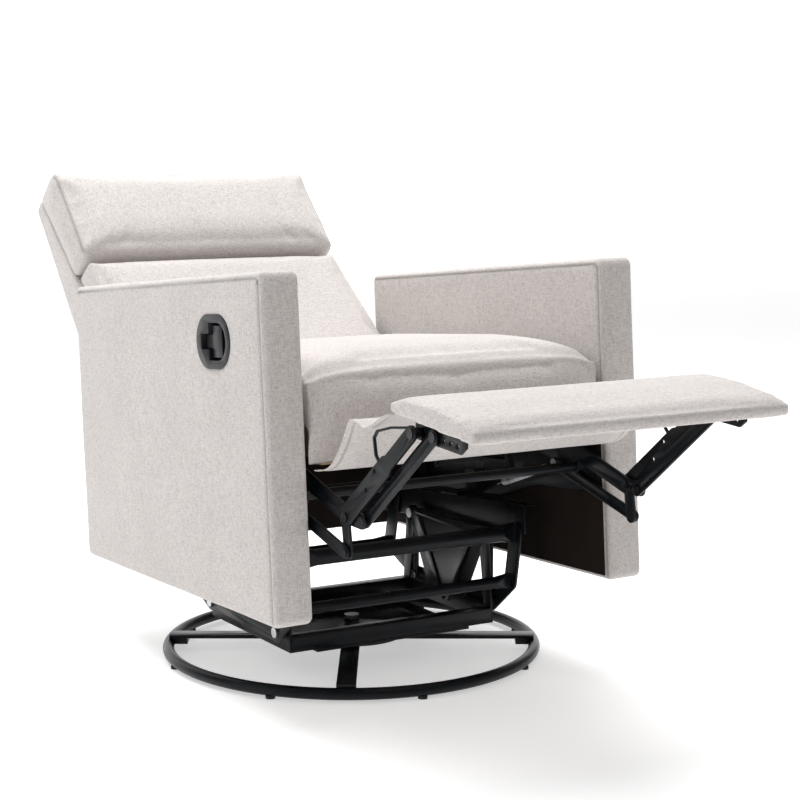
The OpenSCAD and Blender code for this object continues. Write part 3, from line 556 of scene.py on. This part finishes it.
def cup_pocket():
    """Oval hole cut through the outer cloth of the right arm for the handle's cup."""
    cup_y, cup_z = -0.208, 0.568
    straight, end_radius = 0.016, 0.0345
    proud, depth = 0.01, 0.028
    corners = 48
    outline = []
    for i in range(corners):
        turn = math.tau * i / corners
        outline.append((cup_y + math.copysign(straight, math.cos(turn)) + end_radius * math.cos(turn),
                        cup_z + end_radius * math.sin(turn)))
    bm = outline_block(outline, -arm_out - proud, -arm_out + depth)
    bmesh.ops.transform(bm, matrix=leaned, verts=bm.verts)
    mesh = bpy.data.meshes.new("cup_pocket")
    bm.to_mesh(mesh)
    bm.free()
    holder = bpy.data.objects.new("cup_pocket", mesh)
    scene.collection.objects.link(holder)
    holder.hide_render = True
    return holder


def arm(name, sign, material):
    """One padded arm. sign is 1 for the sitter's left arm."""
    panel_spacing = 0.022
    arm_middle_z, arm_height = 0.41, 0.53
    panel_swell, wadding_depth = 0.0028, 0.0009
    on_panel = 0.98
    bm = grid(padded_box(arm_outline, arm_in, arm_out, arm_corner, arm_round), panel_spacing)
    middle = Vector(((arm_in + arm_out) / 2, (arm_front + arm_rear) / 2, arm_middle_z))
    half = Vector((arm_out - arm_in, arm_rear - arm_front, arm_height)) / 2
    bm.normal_update()
    for v in bm.verts:
        away = v.co - middle
        share = [min(abs(away[i] / half[i]), 1.0) for i in range(3)]
        if share[0] > on_panel and away.x > 0:
            v.co.x += panel_swell * (1 - share[1] ** 6) * (1 - share[2] ** 6)
    wadding([v for v in bm.verts if v.co.x > middle.x], wadding_depth, 3.1 if sign > 0 else 11.7)
    if sign < 0:
        bmesh.ops.scale(bm, vec=(-1, 1, 1), verts=bm.verts)
        bmesh.ops.recalc_face_normals(bm, faces=bm.faces)
    bmesh.ops.transform(bm, matrix=leaned, verts=bm.verts)
    piece = shown("carriage", bm, name, material, crisp=180)
    if sign < 0:
        pocket = cup_pocket()
        cut = piece.modifiers.new("pocket", "BOOLEAN")
        cut.object = pocket
        bake(piece)
        bpy.data.objects.remove(pocket)
    front_y, rear_y = arm_front + arm_round, arm_rear - arm_round
    seams = []
    for x in (arm_in, arm_out):
        seams.append([(sign * x, front_y + 0.002, arm_low_front + arm_round),
                      (sign * x, front_y + 0.002, arm_top_front - arm_round - 0.006),
                      (sign * x, front_y + 0.008, arm_top_front - arm_round - 0.001),
                      (sign * x, rear_y, arm_top_rear - arm_round - 0.001)])
    sew(piece, seams, depth=0.0016, spread=0.0022)
    return piece


left_arm = arm("arm_upholstery_left", 1, seat_linen)
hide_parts("arm_cover_left")
right_arm = arm("arm_upholstery_right", -1, seat_linen)
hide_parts("arm_cover_right")

# ---------------------------------------------------------------- arm linings
# Thin dark non-woven cloth stapled over the inner face of each arm below the seat.
# The same dark cloth also stands on the rear panel's inner face as painted shade.
lining_and_shade_cloth = hard_finish("dark_lining_and_painted_shade", (0.010, 0.0065, 0.005), (0.017, 0.011, 0.009), 25,
                           (0.75, 0.9), 1100, 0.0004, shine=0.15)
paint(["arm_linings"], lining_and_shade_cloth)

# ---------------------------------------------------------------- rear panel
# Board that ties the two arms together at the back: linen over thin wadding outside. Its inner
# face has the same dark cloth as the arm linings, as painted shade for the shadow under the seat.
panel_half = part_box("rear_panel")[1].x
panel_front, panel_back, panel_low, panel_high = 0.352, 0.374, 0.170, 0.322
panel_bm = outline_block([(panel_front, panel_low), (panel_back, panel_low),
                          (panel_back, panel_high), (panel_front, panel_high)],
                         -panel_half, panel_half)
panel_edges = [e for e in panel_bm.edges
               if any(abs(v.co.y - panel_front) > 1e-4 for v in e.verts)]
round_off(panel_bm, panel_edges, 0.005, 4)
# Faces turned to the seat get the dark cloth: painted shade.
for face in panel_bm.faces:
    if face.normal.y < -0.9:
        face.material_index = 1
bmesh.ops.transform(panel_bm, matrix=leaned, verts=panel_bm.verts)
panel = shown("carriage", panel_bm, "rear_panel_upholstery", seat_linen)
panel.data.materials.append(lining_and_shade_cloth)
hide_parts("rear_panel")

# ---------------------------------------------------------------- recliner paddle
# Black moulded oval escutcheon let into the arm, with a T-shaped pull in its cup.
moulded = hard_finish("moulded_black_plastic", (0.006, 0.007, 0.009), (0.011, 0.012, 0.015), 40,
                      (0.30, 0.42), 1300, 0.0002, shine=0.3)
moulded_edge = 0.0012
for name in ("handle_bezel", "release_paddle"):
    ease_edges(name, moulded_edge, moulded)
paint(["release_cable"], moulded)

# ---------------------------------------------------------------- footrest linkage
# Pressed steel links on both sides, opened by the torque bar.
link_edge = 0.0006
for name in ("drive_links", "control_links", "carrier_links", "toe_links", "footrest_brackets"):
    ease_edges(name, link_edge, powder_coat)
paint(["torque_bar"], powder_coat)

# ---------------------------------------------------------------- footrest pad
# Foam on a plywood board, the linen pulled over and stapled underneath.
foot_tilt = math.radians(9.4)
foot_linen = linen("footrest_linen", seat_lean - foot_tilt)
foot_rear = leaned @ Vector((0, -0.612, 0.470))
foot_set = Matrix.Translation(foot_rear) @ Matrix.Rotation(foot_tilt - seat_lean, 4, "X")
foot_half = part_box("footrest_pad")[1].x
foot_bm = outline_block([(0, -0.0015), (-0.221, -0.0015), (-0.2215, 0.017), (-0.185, 0.025),
                         (-0.1105, 0.029), (-0.034, 0.0255), (0.0005, 0.015)],
                        -foot_half, foot_half)
bmesh.ops.transform(foot_bm, matrix=foot_set, verts=foot_bm.verts)
foot_grain, foot_swell = 0.005, 0.005
foot = stuff("footrest", foot_bm, "footrest_cushion", foot_linen, foot_grain, foot_swell)
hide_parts("footrest_pad", "footrest_board")

# ---------------------------------------------------------------- footrest flap
# One piece of linen from the seat's front rail, over the bent stays of the links, to the
# footrest's rear edge. Both ends are stapled and both sides have a double-stitched hem.
flap_route = [(-0.381, 0.371), (-0.402, 0.372), (-0.432, 0.381), (-0.459, 0.404), (-0.482, 0.432),
              (-0.497, 0.4515), (-0.514, 0.4495), (-0.536, 0.443), (-0.556, 0.447),
              (-0.580, 0.457), (-0.606, 0.466)]
flap_half = 0.272


def smooth_route(corners, count):
    """Even points on a smooth curve through the corners, with the length run to each."""
    parts = 20
    dense = []
    for i in range(len(corners) - 1):
        around = [np.array(corners[min(max(i + k, 0), len(corners) - 1)]) for k in (-1, 0, 1, 2)]
        for step in range(parts):
            t = step / parts
            dense.append(0.5 * (2 * around[1] + (around[2] - around[0]) * t
                                + (2 * around[0] - 5 * around[1] + 4 * around[2] - around[3]) * t * t
                                + (3 * around[1] - around[0] - 3 * around[2] + around[3]) * t ** 3))
    dense.append(np.array(corners[-1]))
    dense = np.array(dense)
    run = np.concatenate([[0], np.cumsum(np.linalg.norm(np.diff(dense, axis=0), axis=1))])
    at = np.linspace(0, run[-1], count)
    return np.column_stack([np.interp(at, run, dense[:, k]) for k in (0, 1)]), at


across_count = 150
along_count = 71
hem_width, hem_lift = 0.011, 0.0007
ripple_depth, sag_depth = 0.0030, 0.001
flap_line, flap_run = smooth_route(flap_route, along_count + 1)
flap_bm = bmesh.new()
rows = []
for i, (y, z) in enumerate(flap_line):
    ahead = flap_line[min(i + 1, along_count)] - flap_line[max(i - 1, 0)]
    up = np.array([-ahead[1], ahead[0]]) / np.linalg.norm(ahead)
    if up[1] < 0:
        up = -up
    free = math.sin(math.pi * i / along_count)
    row = []
    for k in range(across_count + 1):
        x = -flap_half + 2 * flap_half * k / across_count
        ripple = ripple_depth * free * noise.noise(Vector((x * 9, flap_run[i] * 11, 4.2)))
        hem = hem_lift if flap_half - abs(x) < hem_width else 0.0
        sag = -sag_depth * free * (1 - (x / flap_half) ** 4)
        lift = ripple + hem + sag
        row.append(flap_bm.verts.new(leaned @ Vector((x, y + up[0] * lift, z + up[1] * lift))))
    rows.append(row)
for i in range(along_count):
    for k in range(across_count):
        flap_bm.faces.new((rows[i][k], rows[i][k + 1], rows[i + 1][k + 1], rows[i + 1][k]))
flap = shown("carriage", flap_bm, "footrest_flap_cloth", seat_linen, crisp=180)
thick = flap.modifiers.new("cloth", "SOLIDIFY")
thick.thickness = 0.0014
thick.offset = 0
bake(flap)
# The hems are not pulled in; the seam mark only darkens the linen along them, as painted shade.
sew(flap, [[(side * (flap_half - hem_width), y, z) for y, z in flap_line] for side in (-1, 1)],
    depth=0.0, spread=0.0016)
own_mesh(flap)
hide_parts("footrest_flap")

# ---------------------------------------------------------------- opening springs
# Close-wound steel wire springs, hooked from the side plates to the torque bar.
spring_low, spring_high = Vector((-0.120, 0.285)), Vector((-0.296, 0.332))


def wire(points, radius, sides, bm):
    """A round wire through the points."""
    rings = []
    for i, spot in enumerate(points):
        ahead = (points[min(i + 1, len(points) - 1)] - points[max(i - 1, 0)]).normalized()
        first = ahead.cross(Vector((0.93, 0.2, 0.31))).normalized()
        second = ahead.cross(first)
        rings.append([bm.verts.new(spot + radius * (math.cos(math.tau * k / sides) * first
                                                    + math.sin(math.tau * k / sides) * second))
                      for k in range(sides)])
    for a, b in zip(rings, rings[1:]):
        for k in range(sides):
            j = (k + 1) % sides
            bm.faces.new((a[k], a[j], b[j], b[k]))
    bm.faces.new(list(reversed(rings[0])))
    bm.faces.new(rings[-1])


spring_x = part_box("opening_springs")[1].x - 0.007
coil_turns, turn_steps = 34, 12
coil_start, coil_radius = 0.024, 0.0058
hook_tip, hook_neck = 0.003, 0.020
wire_radius, wire_sides = 0.0011, 8
for side, word in ((-1, "right"), (1, "left")):
    fixed = leaned @ Vector((side * spring_x, spring_low.x, spring_low.y))
    moving = leaned @ Vector((side * spring_x, spring_high.x, spring_high.y))
    along = moving - fixed
    length = along.length
    along.normalize()
    out = Vector((1, 0, 0))
    up = along.cross(out)
    points = [fixed + along * hook_tip, fixed + along * hook_neck]
    for i in range(coil_turns * turn_steps + 1):
        turn = math.tau * i / turn_steps
        reach = coil_start + (length - 2 * coil_start) * i / (coil_turns * turn_steps)
        points.append(fixed + along * reach
                      + coil_radius * (math.cos(turn) * out + math.sin(turn) * up))
    points += [fixed + along * (length - hook_neck), fixed + along * (length - hook_tip)]
    spring_bm = bmesh.new()
    wire(points, wire_radius, wire_sides, spring_bm)
    coil = shown(None, spring_bm, "opening_spring_" + word, zinc, crisp=60)
    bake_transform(coil)
    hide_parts("opening_springs")

# ---------------------------------------------------------------- back
# Timber frame that tips on two pivots between the arms. Its linen is pulled round the frame
# and stapled, and its low front is closed with dark lining.
back_lean = math.radians(37.6)
back_linen = linen("back_linen", seat_lean + back_lean)
paint(["back_frame"], timber)
back_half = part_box("back_shell")[1].x
shell_outline = [(0.391, 0.340), (0.755, 0.813), (0.731, 0.835), (0.721, 0.821), (0.565, 0.676),
                 (0.409, 0.531), (0.372, 0.4966), (0.347, 0.410), (0.347, 0.340)]
shell_bm = outline_block(shell_outline, -back_half, back_half)
round_off(shell_bm, edges_of(shell_bm, True), 0.007, 4)
round_off(shell_bm, edges_of(shell_bm, False), 0.006, 4)
lining_top = 0.49
for face in shell_bm.faces:
    faces_seat = face.normal.y < -0.5 or face.normal.z < -0.8
    if face.calc_center_median().z < lining_top and faces_seat:
        face.material_index = 1
bmesh.ops.transform(shell_bm, matrix=leaned, verts=shell_bm.verts)
shell = shown("back", shell_bm, "back_upholstery", back_linen)
shell.data.materials.append(lining_and_shade_cloth)
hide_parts("back_shell")

# ---------------------------------------------------------------- back cushion
# Fibre-filled linen case on the lower front of the back. It rolls under at its foot, and a
# deep seam joins its face to each side panel.
rim_x = back_half - 0.002
rim_depth, rim_spread = 0.0022, 0.0032
lower_grain, lower_swell = 0.0065, 0.013
lower = stuff("back", merged_copy("back_cushion"), "back_cushion_case", back_linen, lower_grain,
              lower_swell, slack=0.1)
roll_y, roll_z, roll_radius = 0.365, 0.465, 0.088
lower_rim = [(0.511, 0.707), (0.400, 0.612)]
for degrees in range(129, 201, 8):
    turn = math.radians(degrees)
    lower_rim.append((roll_y + roll_radius * math.cos(turn), roll_z + roll_radius * math.sin(turn)))
sew(lower, [[(side * rim_x, y, z) for y, z in lower_rim] for side in (-1, 1)],
    depth=rim_depth, spread=rim_spread)
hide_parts("back_cushion")

# ---------------------------------------------------------------- head pillow
# Fuller fibre-filled linen case on the upper front of the back, with a deep seam on each side
# and one across its top.
pillow_grain, pillow_swell = 0.0055, 0.014
pillow = stuff("back", merged_copy("head_pillow"), "head_pillow_case", back_linen, pillow_grain,
               pillow_swell, slack=-0.3)
pillow_rim = [(0.731, 0.8354), (0.665, 0.881), (0.640, 0.868), (0.560, 0.776), (0.521, 0.726)]
sew(pillow, [[(side * rim_x, y, z) for y, z in pillow_rim] for side in (-1, 1)]
    + [[(-back_half, 0.665, 0.881), (back_half, 0.665, 0.881)]], depth=rim_depth, spread=rim_spread)
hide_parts("head_pillow")

# ---------------------------------------------------------------- studio
# Light tent: a table that glows a little, a bright cloth wall behind the chair as the camera
# sees it, and soft lamps above and on the paddle side.
def glowing(name, tone, glow):
    """Finish of a light tent: pale, and lit through from behind."""
    made = bpy.data.materials.new(name)
    made.use_nodes = True
    shader = made.node_tree.nodes["Principled BSDF"]
    shader.inputs["Base Color"].default_value = (tone, tone, tone, 1)
    shader.inputs["Roughness"].default_value = 0.9
    shader.inputs["Specular IOR Level"].default_value = 0.0
    shader.inputs["Emission Color"].default_value = (1, 1, 1, 1)
    shader.inputs["Emission Strength"].default_value = glow
    return made


def tent_sheet(name, size, placed, finish):
    """One flat sheet of the light tent."""
    bm = bmesh.new()
    bmesh.ops.create_grid(bm, x_segments=1, y_segments=1, size=size, matrix=placed)
    mesh = bpy.data.meshes.new(name)
    bm.to_mesh(mesh)
    bm.free()
    mesh.materials.append(finish)
    sheet = bpy.data.objects.new(name, mesh)
    scene.collection.objects.link(sheet)
    return sheet


def soft_light(name, place, aim, size, power):
    """A rectangular lamp at a place, turned to its aim."""
    lamp = bpy.data.lights.new(name, "AREA")
    lamp.shape = "RECTANGLE"
    lamp.size, lamp.size_y = size
    lamp.energy = power
    holder = bpy.data.objects.new(name, lamp)
    holder.location = place
    holder.rotation_euler = (Vector(aim) - Vector(place)).to_track_quat("-Z", "Y").to_euler()
    scene.collection.objects.link(holder)


floor = tent_sheet("floor", 30, Matrix.Identity(4), glowing("light_table", 0.9, 0.48))
wall_place = Matrix.Translation((6, 12, 0)) @ Matrix.Rotation(math.radians(90), 4, "X")
tent_wall = tent_sheet("tent_wall", 14, wall_place, glowing("tent_cloth", 0.9, 1.0))
chair_middle = (0, 0, 0.5)
soft_light("overhead", (0.1, 0.6, 3.0), chair_middle, (3.4, 3.4), 142)
soft_light("paddle_side", (-3.6, -0.1, 1.5), (0, 0, 0.45), (2.2, 2.2), 14)
world = bpy.data.worlds.new("studio")
world.use_nodes = True
world.node_tree.nodes["Background"].inputs["Color"].default_value = (1, 1, 1, 1)
world.node_tree.nodes["Background"].inputs["Strength"].default_value = 0.22
scene.world = world
scene.view_settings.view_transform = "Standard"
